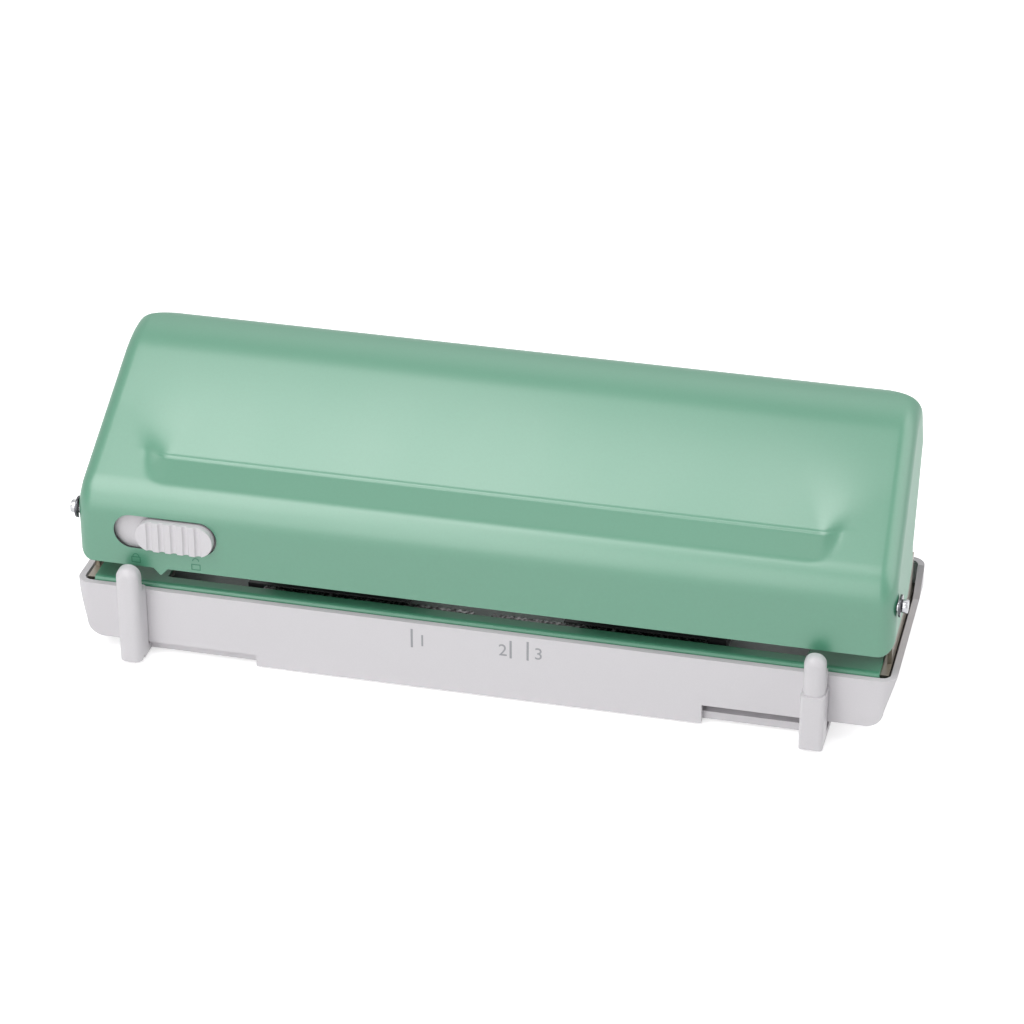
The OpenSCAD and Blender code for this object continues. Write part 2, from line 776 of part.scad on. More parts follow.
// The wedge that the recess presses into the panel, moved inwards by depth
module recess_wedge(depth) {
    away = (recess_depth + 2 * cut) * panel_normal;
    along_x(-recess_length / 2 - depth, recess_length / 2 + depth) translate(-depth * panel_normal)
        polygon([recess_front_out, crease, recess_top_out, recess_top_out + away, recess_front_out + away]);
}

// Everything behind and below the lever's flanges
module lever_open_back() {
    along_x(-lever_half - cut, lever_half + cut) polygon(concat([[-cut, -cut], [-cut, lever_bottom]],
        flange_outline, [[lever_rear + cut, -cut]]));
}

module lever_shell() {
    color(green) placed() difference() {
        union() {
            difference() {
                intersection() {
                    lever_solid(0);
                    along_y(-cut, lever_rear + cut) lever_foot();
                }
                difference() {
                    lever_solid(sheet_t);
                    recess_wedge(sheet_t);
                }
                recess_wedge(0);
                lever_open_back();
            }
            for (s = [-1, 1]) bar_side(s, bar_half - bar_boss_length, bar_half + bar_boss_sink, bar_boss_d,
                bar_axis[0], bar_axis[1]);
        }
        bar_x(-bar_half, bar_half, press_bar_d + 2 * press_gap, bar_axis[0], bar_axis[1]);
        for (s = [-1, 1])
            bar_side(s, lever_half - sheet_t - cut, lever_half + cut, pivot_d + 2 * run_fit,
                pivot_y, pivot_z);
        along_y(-cut, lever_front_y + sheet_t + cut) translate([-lock_x, lock_z])
            stadium(lock_slot_length, lock_slot_h);
    }
}

module press_bar() {
    color(steel) placed() bar_x(-bar_half, bar_half, press_bar_d, bar_axis[0], bar_axis[1]);
}

// Thumb cap of the lock with grip grooves and a neck through the slot
module lock_cap() {
    pitch = (lock_cap_length - lock_cap_h_z / 2) / lock_grooves;
    front = lever_front_y - lock_cap_h;
    color(white) placed() difference() {
        along_y(front, lock_plate_y) translate([lock_cap_x, lock_z])
            stadium(lock_cap_length, lock_cap_h_z);
        for (i = [0:lock_grooves - 1])
            bar_zz(lock_z - lock_cap_h_z, lock_z + lock_cap_h_z, groove_share * pitch,
                lock_cap_x + (i - (lock_grooves - 1) / 2) * pitch, front);
    }
}

// Plate of the lock behind the lever's face, with the hook that catches the keeper
module lock_plate() {
    color(white) placed() {
        block([lock_plate_left, lock_plate_y, lock_z - lock_plate_h / 2],
            [lock_plate_right, lock_plate_y + lock_plate_t, lock_z + lock_plate_h / 2]);
        block([hook_x, lock_plate_y + lock_plate_t - hook_lap, hook_link_z],
            [hook_x + hook_w, hook_y + hook_t, hook_link_z + hook_link_h]);
        block([hook_x, hook_y, hook_z - hook_h / 2],
            [hook_x + hook_w, hook_y + hook_t, hook_link_z + hook_link_h]);
    }
}

// A guide finger's side outline, from z0 to z1, relieved behind where the lever swings
module finger_side(z0, z1) {
    r = (finger_front + finger_relief_y) / 2;
    difference() {
        union() {
            translate([-finger_front, z0]) square([finger_front + finger_back, finger_relief_z - z0]);
            translate([-finger_front, z0]) square([2 * r, z1 - r - z0]);
            translate([-finger_front + r, z1 - r]) circle(r = r);
        }
        translate([finger_relief_y, finger_relief_z]) square([finger_front, z1]);
    }
}

// A guide finger's front outline with a round tip
module finger_face(x0, z0, z1) {
    translate([x0, z0]) square([finger_w, z1 - finger_w / 2 - z0]);
    translate([x0 + finger_w / 2, z1 - finger_w / 2]) circle(d = finger_w);
}

module guide_finger(x0, z0, z1) {
    intersection() {
        along_x(x0, x0 + finger_w) finger_side(z0, z1);
        along_y(-finger_front, 0) finger_face(x0, z0, z1);
    }
}

// The foot and sliding bar under a finger, running from x_out towards x_in
module guide_bar(x_foot, x_out, x_in) {
    block([x_foot, -finger_front, finger_bottom], [x_foot + finger_w, bar_y + bar_w, finger_bottom + bar_t]);
    block([min(x_out, x_in), bar_y, bar_z], [max(x_out, x_in), bar_y + bar_w, bar_z + bar_t]);
}

module left_paper_guide() {
    color(white) placed() {
        guide_finger(-left_finger_x, finger_bottom, left_finger_top);
        guide_bar(-left_finger_x, left_bar_x, left_bar_x + bar_length);
    }
}

module right_guide_bar() {
    color(white) placed() {
        difference() {
            block([right_finger_x, -finger_front, finger_bottom],
                [right_finger_x + finger_w, finger_back, sleeve_top]);
            bar_zz(sleeve_top - peg_spigot, sleeve_top + cut, finger_w / 2 + 2 * press_gap,
                right_finger_x + finger_w / 2, -finger_front / 2);
        }
        guide_bar(right_finger_x, right_bar_x, right_bar_x - bar_length);
    }
}

module right_guide_peg() {
    color(white) placed() {
        guide_finger(right_finger_x, sleeve_top, right_finger_top);
        bar_zz(sleeve_top - peg_spigot, sleeve_top + cut, finger_w / 2, right_finger_x + finger_w / 2,
            -finger_front / 2);
    }
}

// A carriage: lower jaw with dies, upper jaw with punch guides, and a rod bore at the back
module carriage(side) {
    x0 = side * carriage_x - carriage_half;
    color(black) placed() difference() {
        along_x(x0, x0 + 2 * carriage_half) difference() {
            polygon([[carriage_front, die_bottom], [carriage_rear, die_bottom], [carriage_rear, jaw_top],
                [jaw_front, jaw_top], [jaw_front, jaw_bottom], [paper_stop, jaw_bottom], [paper_stop, die_top],
                [carriage_front, die_top]]);
            translate([rod_y, rod_z]) circle(r = rod_d / 2 + run_fit);
        }
        for (i = [1:3]) {
            bar_zz(jaw_bottom - cut, jaw_top + cut, punch_d + 2 * run_fit, punch_x(side, i), punch_y);
            bar_zz(die_bottom - cut, die_top + cut, punch_d + 2 * die_clearance, punch_x(side, i), punch_y);
        }
        translate([side * carriage_x, carriage_front - cut, plunger_z]) rotate([-90, 0, 0])
            cylinder(h = plunger_length + cut, d = plunger_d + 2 * press_gap);
    }
}

module left_carriage() {
    carriage(-1);
}

module right_carriage() {
    carriage(1);
}

// The plunger that rests against the rack, set in the carriage's front
module plunger(side) {
    color(chrome) placed() translate([side * carriage_x, carriage_front, plunger_z]) rotate([-90, 0, 0])
        cylinder(h = plunger_length, d = plunger_d);
}

module left_plunger() {
    plunger(-1);
}

module right_plunger() {
    plunger(1);
}

// A return spring as one unbroken helical tube between the jaw and the cap
module return_spring(side, i) {
    count = round(spring_curls * spring_rings);
    rise = spring_rise / count;
    points = [for (n = [0:count]) each coil_ring(n, spring_mean_r, rise, spring_wire)];
    n_s = spring_sides;
    last = count * n_s;
    sides = [for (n = [0:count - 1], k = [0:n_s - 1]) let (a = n * n_s + k, b = n * n_s + (k + 1) % n_s)
        each [[a, a + n_s, b], [b, a + n_s, b + n_s]]];
    ends = concat([for (k = [1:n_s - 2]) [0, k, k + 1]],
        [for (k = [1:n_s - 2]) [last, last + k + 1, last + k]]);
    echo(str("least gap of the spring to itself: ", coil_gap(count, spring_mean_r, rise, spring_wire), " mm"));
    color(chrome) placed() translate([punch_x(side, i), punch_y, jaw_top + spring_seat_gap + spring_wire / 2])
        polyhedron(points = points, faces = concat(sides, ends));
}

module punch(side, i) {
    color(chrome) placed()
        bar_zz(punch_tip, cap_bottom + cap_socket, punch_d, punch_x(side, i), punch_y);
}

module punch_cap(side, i) {
    color(steel) placed() difference() {
        bar_zz(cap_bottom, cap_top, cap_d, punch_x(side, i), punch_y);
        bar_zz(cap_bottom - cut, cap_bottom + cap_socket, punch_d + 2 * press_gap, punch_x(side, i), punch_y);
    }
}

base_tray();
rubber_feet();
guide_keepers();
keeper_screws();
chassis();
bed_plate();
bed_screws();
left_rack();
right_rack();
guide_rod();
rod_clips();
left_pivot_pin();
right_pivot_pin();
pivot_clips();
lock_keeper();
lever_shell();
press_bar();
lock_cap();
lock_plate();
left_paper_guide();
right_guide_bar();
right_guide_peg();
left_carriage();
right_carriage();
left_plunger();
right_plunger();
for (i = [1:3]) {
    return_spring(-1, i);
    return_spring(1, i);
    punch(-1, i);
    punch(1, i);
    punch_cap(-1, i);
    punch_cap(1, i);
}
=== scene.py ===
import json
import math

import bmesh
import bpy
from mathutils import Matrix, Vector


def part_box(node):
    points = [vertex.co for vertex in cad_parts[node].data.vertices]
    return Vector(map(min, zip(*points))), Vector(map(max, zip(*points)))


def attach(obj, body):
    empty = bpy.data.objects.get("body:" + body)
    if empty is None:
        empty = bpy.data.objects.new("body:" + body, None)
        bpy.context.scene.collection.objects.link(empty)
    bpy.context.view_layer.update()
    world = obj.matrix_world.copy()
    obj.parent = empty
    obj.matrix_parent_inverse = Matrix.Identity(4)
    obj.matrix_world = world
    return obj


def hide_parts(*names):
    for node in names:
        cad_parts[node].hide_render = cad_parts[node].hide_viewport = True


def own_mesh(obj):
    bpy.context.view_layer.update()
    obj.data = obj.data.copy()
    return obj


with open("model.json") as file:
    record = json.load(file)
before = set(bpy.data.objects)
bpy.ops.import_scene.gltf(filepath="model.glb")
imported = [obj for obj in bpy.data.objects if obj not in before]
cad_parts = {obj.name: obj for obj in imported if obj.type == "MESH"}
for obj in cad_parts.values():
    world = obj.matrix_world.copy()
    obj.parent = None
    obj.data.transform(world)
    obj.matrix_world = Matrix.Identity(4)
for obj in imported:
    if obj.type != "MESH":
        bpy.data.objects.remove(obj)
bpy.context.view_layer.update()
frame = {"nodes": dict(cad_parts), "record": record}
mm = 0.001
tiny = 0.01  # millimetres
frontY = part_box("base_tray")[0].y  # the tray's front wall; lengths below are in millimetres from it and the table
print("frame loaded:", len(frame["nodes"]), "nodes")


# Places and selections

def at(x, y, z):
    return Vector((x * mm, y * mm + frontY, z * mm))


def benchBox(node):
    low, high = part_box(node)
    shift = Vector((0, frontY, 0))
    return (low - shift) / mm, (high - shift) / mm


def deselectAll():
    if bpy.context.object and bpy.context.object.mode != "OBJECT":
        bpy.ops.object.mode_set(mode="OBJECT")
    bpy.ops.object.select_all(action="DESELECT")


def makeActive(obj):
    deselectAll()
    obj.select_set(True)
    bpy.context.view_layer.objects.active = obj


def pick(obj, kind, test):
    # goes into edit mode with the parts that pass the test selected
    makeActive(obj)
    bpy.ops.object.mode_set(mode="EDIT")
    bpy.ops.mesh.select_mode(type=kind)
    bpy.ops.mesh.select_all(action="DESELECT")
    shape = bmesh.from_edit_mesh(obj.data)
    for part in {"VERT": shape.verts, "EDGE": shape.edges, "FACE": shape.faces}[kind]:
        if test(part):
            part.select_set(True)
    shape.select_flush_mode()
    bmesh.update_edit_mesh(obj.data)


def leaveEdit():
    bpy.ops.object.mode_set(mode="OBJECT")


def middle(edge):
    # an edge's middle in bench millimetres
    point = (edge.verts[0].co + edge.verts[1].co) / 2
    return Vector((point.x, point.y - frontY, point.z)) / mm


def runsAlong(edge, axis):
    return abs((edge.verts[1].co - edge.verts[0].co).normalized()[axis]) > 0.99


def near(a, b, slack=0.05):
    return abs(a - b) < slack


# Modelling steps

def addBlock(name, low, high):
    deselectAll()
    a, b = at(*low), at(*high)
    bpy.ops.mesh.primitive_cube_add(size=1, location=(a + b) / 2, scale=b - a)
    obj = bpy.context.object
    obj.name = name
    bpy.ops.object.transform_apply(location=True, rotation=True, scale=True)
    return obj


def addRod(name, start, end, diameter, sides=32):
    deselectAll()
    a, b = at(*start), at(*end)
    turn = (b - a).to_track_quat("Z", "Y").to_euler()
    bpy.ops.mesh.primitive_cylinder_add(
        vertices=sides, radius=diameter * mm / 2, depth=(b - a).length, location=(a + b) / 2, rotation=turn)
    obj = bpy.context.object
    obj.name = name
    bpy.ops.object.transform_apply(location=True, rotation=True, scale=True)
    return obj


def bevelEdges(obj, test, width, segments=4):
    pick(obj, "EDGE", test)
    bpy.ops.mesh.bevel(offset=width * mm, offset_type="OFFSET", segments=segments, affect="EDGES")
    leaveEdit()


def applyModifier(obj, kind, **values):
    makeActive(obj)
    modifier = obj.modifiers.new(kind.title(), kind)
    for key, value in values.items():
        setattr(modifier, key, value)
    bpy.ops.object.modifier_apply(modifier=modifier.name)


def combine(obj, other, operation):
    applyModifier(obj, "BOOLEAN", object=other, operation=operation, solver="EXACT")
    bpy.data.objects.remove(other)


def thicken(obj, thickness):
    applyModifier(obj, "SOLIDIFY", thickness=thickness * mm, offset=-1, use_even_offset=True)


def softenEdges(obj, width, segments=2, angle=35):
    applyModifier(obj, "BEVEL", width=width * mm, segments=segments, limit_method="ANGLE",
                  angle_limit=math.radians(angle), use_clamp_overlap=True, miter_outer="MITER_ARC")


def smooth(obj, angle=30):
    makeActive(obj)
    bpy.ops.object.shade_smooth_by_angle(angle=math.radians(angle))
    applyModifier(obj, "WEIGHTED_NORMAL", keep_sharp=True)


def cleanMesh(obj, flatAngle=0):
    makeActive(obj)
    bpy.ops.object.mode_set(mode="EDIT")
    bpy.ops.mesh.select_all(action="SELECT")
    bpy.ops.mesh.remove_doubles(threshold=0.002 * mm)
    if flatAngle:
        bpy.ops.mesh.dissolve_limited(angle_limit=math.radians(flatAngle))
    bpy.ops.mesh.normals_make_consistent(inside=False)
    leaveEdit()


def easeAll(obj, width, segments=2, angle=35, flatAngle=0):
    # the last steps for most pieces: clean mesh, eased edges, smooth shading
    cleanMesh(obj, flatAngle)
    softenEdges(obj, width, segments, angle)
    smooth(obj)
    return obj


def softCopy(node, name, width, segments=2):
    # a node's own shape with its sharp edges eased
    obj = bpy.data.objects.new(name, frame["nodes"][node].data.copy())
    bpy.context.scene.collection.objects.link(obj)
    return easeAll(obj, width, segments, flatAngle=2)


def joinPieces(name, objs):
    makeActive(objs[0])
    for obj in objs[1:]:
        obj.select_set(True)
    bpy.ops.object.join()
    objs[0].name = name
    return objs[0]


def dress(obj, body, slotName, material, *nodes):
    obj.data.materials.clear()
    obj.data.materials.append(material)
    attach(obj, body)
    if nodes:
        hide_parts(*nodes)
    return obj


# Finishes

def newGroup(name, inputs, outputs):
    group = bpy.data.node_groups.new(name, "ShaderNodeTree")
    for label, kind, value in inputs:
        socket = group.interface.new_socket(label, in_out="INPUT", socket_type=kind)
        socket.default_value = value
    for label, kind in outputs:
        group.interface.new_socket(label, in_out="OUTPUT", socket_type=kind)
    ends = group.nodes.new("NodeGroupInput"), group.nodes.new("NodeGroupOutput")
    return group, ends[0], ends[1]


def makeMottle():
    # slow cloudy change of tone over a surface, with a fine speckle on top; on the rack steel a large speckle
    # amount makes sparse bright spots, which are painted glints
    group, start, end = newGroup(
        "mottle",
        [("Color", "NodeSocketColor", (0.5, 0.5, 0.5, 1)), ("Cloud Scale", "NodeSocketFloat", 25),
         ("Cloud", "NodeSocketFloat", 0.05), ("Speckle Scale", "NodeSocketFloat", 1500),
         ("Speckle", "NodeSocketFloat", 0.04)],
        [("Color", "NodeSocketColor"), ("Height", "NodeSocketFloat"), ("Cloud Mask", "NodeSocketFloat")])
    make, link = group.nodes.new, group.links.new
    coords = make("ShaderNodeTexCoord")
    cloud = make("ShaderNodeTexNoise")
    cloud.inputs["Detail"].default_value = 3
    speckle = make("ShaderNodeTexNoise")
    speckle.inputs["Detail"].default_value = 2
    link(coords.outputs["Object"], cloud.inputs["Vector"])
    link(coords.outputs["Object"], speckle.inputs["Vector"])
    link(start.outputs["Cloud Scale"], cloud.inputs["Scale"])
    link(start.outputs["Speckle Scale"], speckle.inputs["Scale"])
    shares = []
    for noise, amount in ((cloud, "Cloud"), (speckle, "Speckle")):
        centre = make("ShaderNodeMath")
        centre.operation = "SUBTRACT"
        centre.inputs[1].default_value = 0.5
        share = make("ShaderNodeMath")
        share.operation = "MULTIPLY"
        link(noise.outputs["Fac"], centre.inputs[0])
        link(centre.outputs[0], share.inputs[0])
        link(start.outputs[amount], share.inputs[1])
        shares.append(share)
    total = make("ShaderNodeMath")
    total.operation = "ADD"
    link(shares[0].outputs[0], total.inputs[0])
    link(shares[1].outputs[0], total.inputs[1])
    even = make("ShaderNodeMath")
    even.operation = "ADD"
    even.inputs[1].default_value = 1
    link(total.outputs[0], even.inputs[0])
    tone = make("ShaderNodeMath")
    tone.operation = "MAXIMUM"
    tone.inputs[1].default_value = 0.05
    link(even.outputs[0], tone.inputs[0])
    scaled = make("ShaderNodeVectorMath")
    scaled.operation = "SCALE"
    link(start.outputs["Color"], scaled.inputs[0])
    link(tone.outputs[0], scaled.inputs["Scale"])
    link(scaled.outputs[0], end.inputs["Color"])
    link(speckle.outputs["Fac"], end.inputs["Height"])
    link(cloud.outputs["Fac"], end.inputs["Cloud Mask"])
    return group


def makeGloss():
    # roughness that wanders between two values with a mask
    group, start, end = newGroup(
        "glossDrift",
        [("Mask", "NodeSocketFloat", 0.5), ("Low", "NodeSocketFloat", 0.3), ("High", "NodeSocketFloat", 0.5)],
        [("Roughness", "NodeSocketFloat")])
    spread = group.nodes.new("ShaderNodeMapRange")
    spread.inputs["From Min"].default_value = 0.3
    spread.inputs["From Max"].default_value = 0.7
    group.links.new(start.outputs["Mask"], spread.inputs["Value"])
    group.links.new(start.outputs["Low"], spread.inputs["To Min"])
    group.links.new(start.outputs["High"], spread.inputs["To Max"])
    group.links.new(spread.outputs["Result"], end.inputs["Roughness"])
    return group


mottleGroup = makeMottle()
glossGroup = makeGloss()


def makeFinish(name, color, cloudScale=25, cloud=0.05, speckleScale=1500, speckle=0.04, rough=(0.35, 0.45),
               bump=0.02, bumpReach=0.02, stretch=(1, 1, 1), **sockets):
    finish = bpy.data.materials.new(name)
    finish.use_nodes = True
    nodes, link = finish.node_tree.nodes, finish.node_tree.links.new
    shader = nodes["Principled BSDF"]
    mottle = nodes.new("ShaderNodeGroup")
    mottle.node_tree = mottleGroup
    for label, value in (("Color", (*color, 1)), ("Cloud Scale", cloudScale), ("Cloud", cloud),
                         ("Speckle Scale", speckleScale), ("Speckle", speckle)):
        mottle.inputs[label].default_value = value
    gloss = nodes.new("ShaderNodeGroup")
    gloss.node_tree = glossGroup
    gloss.inputs["Low"].default_value, gloss.inputs["High"].default_value = rough
    relief = nodes.new("ShaderNodeBump")
    relief.inputs["Strength"].default_value = bump
    relief.inputs["Distance"].default_value = bumpReach * mm
    link(mottle.outputs["Color"], shader.inputs["Base Color"])
    link(mottle.outputs["Cloud Mask"], gloss.inputs["Mask"])
    link(gloss.outputs["Roughness"], shader.inputs["Roughness"])
    if stretch == (1, 1, 1):
        link(mottle.outputs["Height"], relief.inputs["Height"])
    else:  # brushed or drawn metal: long fine lines
        coords = nodes.new("ShaderNodeTexCoord")
        turn = nodes.new("ShaderNodeMapping")
        turn.inputs["Scale"].default_value = stretch
        lines = nodes.new("ShaderNodeTexNoise")
        lines.inputs["Scale"].default_value = speckleScale
        link(coords.outputs["Object"], turn.inputs["Vector"])
        link(turn.outputs["Vector"], lines.inputs["Vector"])
        link(lines.outputs["Fac"], relief.inputs["Height"])
    link(relief.outputs["Normal"], shader.inputs["Normal"])
    for label, value in sockets.items():
        shader.inputs[label.replace("_", " ")].default_value = value
    return finish


finishes = {
    "greenPaint": makeFinish("greenPaint", (0.062, 0.254, 0.152), cloudScale=14, cloud=0.05, speckleScale=1300,
                             speckle=0.10, rough=(0.34, 0.40), bump=0.25, bumpReach=0.03, IOR=2.0),
    "bedPaint": makeFinish("bedPaint", (0.085, 0.300, 0.185), cloudScale=14, cloud=0.05, speckleScale=1300,
                           speckle=0.10, rough=(0.36, 0.42), bump=0.25, bumpReach=0.03, IOR=1.6),
    "whitePlastic": makeFinish("whitePlastic", (0.655, 0.635, 0.657), cloudScale=18, cloud=0.03, speckleScale=1600,
                               speckle=0.05, rough=(0.30, 0.38), bump=0.15, bumpReach=0.02),
    "bareSteel": makeFinish("bareSteel", (0.31, 0.285, 0.245), cloudScale=60, cloud=0.25, speckleScale=900,
                            speckle=0.10, rough=(0.30, 0.45), bump=0.2, bumpReach=0.02, stretch=(0.05, 1, 1),
                            Metallic=1.0),
    "brightSteel": makeFinish("brightSteel", (0.46, 0.46, 0.48), cloudScale=80, cloud=0.08, speckleScale=700,
                              speckle=0.05, rough=(0.14, 0.24), bump=0.1, bumpReach=0.01, Metallic=1.0),
    "clipSteel": makeFinish("clipSteel", (0.10, 0.10, 0.11), cloudScale=300, cloud=0.9, speckleScale=900,
                            speckle=0.3, rough=(0.10, 0.22), bump=0.2, bumpReach=0.02, Metallic=1.0),
    # black steel for the carriages and rod clips; on the lever's slot edge the same dark finish is painted shade
    "blackSteelAndSlotShade": makeFinish("blackSteelAndSlotShade", (0.030, 0.030, 0.032), cloudScale=70, cloud=0.3, speckleScale=1200,
                             speckle=0.3, rough=(0.34, 0.50), bump=0.3, bumpReach=0.02),
    # dark rack steel with painted glints: its large speckle paints sparse bright spots
    "rackSteelPaintedGlints": makeFinish("rackSteelPaintedGlints", (0.11, 0.11, 0.11), cloudScale=120, cloud=0.5, speckleScale=700,
                            speckle=11.0, rough=(0.25, 0.45), bump=0.3, bumpReach=0.02, Metallic=1.0),
    "rubber": makeFinish("rubber", (0.028, 0.028, 0.030), cloudScale=60, cloud=0.15, speckleScale=900,
                         speckle=0.2, rough=(0.70, 0.85), bump=0.4, bumpReach=0.04),
    "greyPrint": makeFinish("greyPrint", (0.33, 0.33, 0.35), cloudScale=200, cloud=0.2, speckleScale=2500,
                            speckle=0.2, rough=(0.50, 0.60)),
    "darkMark": makeFinish("darkMark", (0.045, 0.190, 0.115), cloudScale=200, cloud=0.1, speckleScale=1500,
                           speckle=0.1, rough=(0.40, 0.50)),
}
print("finishes made:", len(finishes))


# Lever: one pressed sheet with rolled ends, a creased recess and two end flanges

lever = {
    "frontY": 0.3, "faceH": 17.3, "frontBend": 15.0, "slope": 33.0, "topRise": 30.0, "topRear": 12.0,
    "rearDrop": 5.0, "draft": 3.0, "draftLead": 2.0, "topCorner": 12.0, "footCorner": 5.0, "roll": 5.5,
    "rearFrom": 0.5, "sheet": 1.0, "edge": 0.3, "edgeAngle": 55.0, "smoothAngle": 24.0, "flatHalf": 117.0,
    "frontSteps": 22, "panelSteps": 22, "riseSteps": 14, "rearSteps": 18,
    "recessFront": -2.2, "creaseAt": 9.8, "recessDepth": 3.2, "recessTop": 49.3, "fade": 2.0,
    "recessHalf": 116.5, "outerLean": 0.9, "endCorner": 5.0, "endWidth": 7.0, "endSpread": 1.4,
    "edgeBlend": 0.08, "bead": 0.26, "beadWidth": 0.7,
    "flange": [(38.5, 54.0), (40.0, 46.0), (32.0, 39.6), (14.0, 38.7)],
    "pinHole": 4.56, "pinY": 6.5, "pinZ": 50.0,
    "slotX": -105.5, "slotZ": 46.5, "slotLength": 35.5, "slotHeight": 12.2, "cutDepth": 4.0,
}
leverLow, leverHigh = benchBox("lever_shell")
leverHalf, leverBottom, leverTop = leverHigh.x, leverLow.z, leverHigh.z
slopeAngle = math.radians(lever["slope"])


def leverSection():
    # rows of (y, z, outward y, outward z, distance up the panel or None)
    rows = []
    faceTop = leverBottom + lever["faceH"]
    for share in (0, 0.03, 0.08, 0.15, 0.25, 0.4, 0.55, 0.7, 0.85, 0.95):
        rows.append((lever["frontY"], leverBottom + share * lever["faceH"], -1, 0, None))
    cy, cz, r = lever["frontY"] + lever["frontBend"], faceTop, lever["frontBend"]
    for i in range(lever["frontSteps"]):
        a = (math.pi / 2 - slopeAngle) * i / lever["frontSteps"]
        before = r * (a - math.pi / 2 + slopeAngle)
        rows.append((cy - r * math.cos(a), cz + r * math.sin(a), -math.cos(a), math.sin(a), before))
    out = (-math.sin(slopeAngle), math.cos(slopeAngle))
    y0, z0 = cy + r * out[0], cz + r * out[1]
    rise, rear = lever["topRise"], lever["topRear"]
    apexY = leverHigh.y - rear
    panelEnd = (apexY - rise * math.sin(slopeAngle) - y0) / math.cos(slopeAngle)
    distances = [0, 0.6, 1.3, 2.2, 3.2, 4.4, 5.6, 6.8, 8]
    distances += [lever["creaseAt"] + 0.2 * i for i in range(-5, 16)]
    coarseFrom, steps = 16, lever["panelSteps"]
    distances += [13.6, 14.6] + [coarseFrom + (panelEnd - coarseFrom) * i / steps for i in range(steps)]
    for t in distances:
        rows.append((y0 + t * math.cos(slopeAngle), z0 + t * math.sin(slopeAngle), *out, t))
    endZ = z0 + panelEnd * math.sin(slopeAngle)
    cy, cz = apexY, endZ - rise * math.cos(slopeAngle)
    riseSteps, rearSteps = lever["riseSteps"], lever["rearSteps"]
    for i in range(riseSteps):
        a = math.pi / 2 + slopeAngle * (1 - i / riseSteps)
        rows.append((cy + rise * math.cos(a), cz + rise * math.sin(a), math.cos(a), math.sin(a),
                     panelEnd + rise * slopeAngle * i / riseSteps))
    cz = cz + rise - rear
    for i in range(rearSteps + 1):
        a = math.pi / 2 * (1 - i / rearSteps)
        rows.append((cy + rear * math.cos(a), cz + rear * math.sin(a), math.cos(a), math.sin(a), None))
    for drop in (0.35, 0.75, 1.0):
        rows.append((cy + rear, cz - drop * lever["rearDrop"], 1, 0, None))
    return rows


def leverHalfAt(z):
    # the end flanges lean in towards the top
    draftFrom = leverBottom + lever["faceH"] + lever["draftLead"]
    return leverHalf - max(0, z - draftFrom) * lever["draft"] / (leverTop - draftFrom)


def softMin(a, b, width):
    h = max(0, min(1, 0.5 + 0.5 * (b - a) / width))
    return b + (a - b) * h - width * h * (1 - h)


def recessDepthAt(x, t):
    # how far the panel is pressed in: a ledge with rounded ends up to the crease, fading away above it
    crease = lever["creaseAt"]
    up = max(0, t - crease)
    along = max(0, min(1, (t - lever["recessFront"]) / (crease - lever["recessFront"])))
    outer = lever["recessHalf"] + lever["outerLean"] * up
    outer -= lever["endCorner"] * (1 - math.sqrt(1 - (1 - along) ** 2))
    share = max(0, min(1, (outer - abs(x)) / (lever["endWidth"] + lever["endSpread"] * up)))
    share = share * share * (3 - 2 * share)
    ledge = -softMin(-along, -lever["edgeBlend"] / 4, lever["edgeBlend"])
    fade = max(0, 1 - up / (lever["recessTop"] - crease)) ** lever["fade"]
    bead = lever["bead"] * math.exp(-((t - crease - lever["beadWidth"]) / lever["beadWidth"]) ** 2)
    return (lever["recessDepth"] * ledge * fade - bead) * share if t > lever["recessFront"] else 0


def leverColumns():
    # each column is (side, kind, value): a place on the flat, a share of the last stretch, or a roll angle
    fineFrom, fineStep, stretchSteps = 96, 1.4, 5
    flat = [x for x in range(0, fineFrom, 8)] + [fineFrom + fineStep * i for i in range(16)]
    half = [("flat", x) for x in flat]
    half += [("stretch", i / stretchSteps) for i in range(stretchSteps)]
    half += [("roll", math.radians(a)) for a in range(0, 91, 9)]
    left = [(-1, kind, value) for kind, value in reversed(half) if (kind, value) != ("flat", 0)]
    return left + [(1, kind, value) for kind, value in half]


def rollAt(outY):
    # the ends roll over evenly up to the top and with a wider curve behind it
    share = max(0, min(1, outY / lever["rearFrom"]))
    return lever["roll"] + (lever["topCorner"] - lever["roll"]) * share * share * (3 - 2 * share)


def leverPoint(row, column):
    y, z, outY, outZ, t = row
    side, kind, value = column
    roll = rollAt(outY)
    edge = leverHalfAt(z) - roll
    inward = 0
    if kind == "roll":
        inward = roll * (1 - math.cos(value))
        lean = leverHalfAt(z - outZ * inward) - leverHalfAt(z)
        x = edge + roll * math.sin(value) + lean
    else:
        x = value if kind == "flat" else lever["flatHalf"] + (edge - lever["flatHalf"]) * value
        if t is not None:
            inward = recessDepthAt(x, t)
    faceTop = leverBottom + lever["faceH"]
    foot = lever["footCorner"]
    past = x - (leverHalf - foot)
    if z < faceTop and past > 0:  # the lower corners curve up
        rise = foot - math.sqrt(max(0, foot * foot - past * past))
        z += rise * (faceTop - z) / lever["faceH"]
    return at(side * x, y - outY * inward, z - outZ * inward)


def addLever():
    rows, columns = leverSection(), leverColumns()
    across, up = len(columns) - 1, len(rows) - 1
    deselectAll()
    bpy.ops.mesh.primitive_grid_add(x_subdivisions=across, y_subdivisions=up, size=1)
    obj = bpy.context.object
    obj.name = "leverSheet"
    for vert in obj.data.vertices:  # the flat grid is pressed to the lever's form
        column = columns[round((vert.co.x + 0.5) * across)]
        row = rows[round((vert.co.y + 0.5) * up)]
        vert.co = leverPoint(row, column)
    for side in (-1, 1):
        addFlange(obj, rows, side)
    cleanMesh(obj)
    return obj


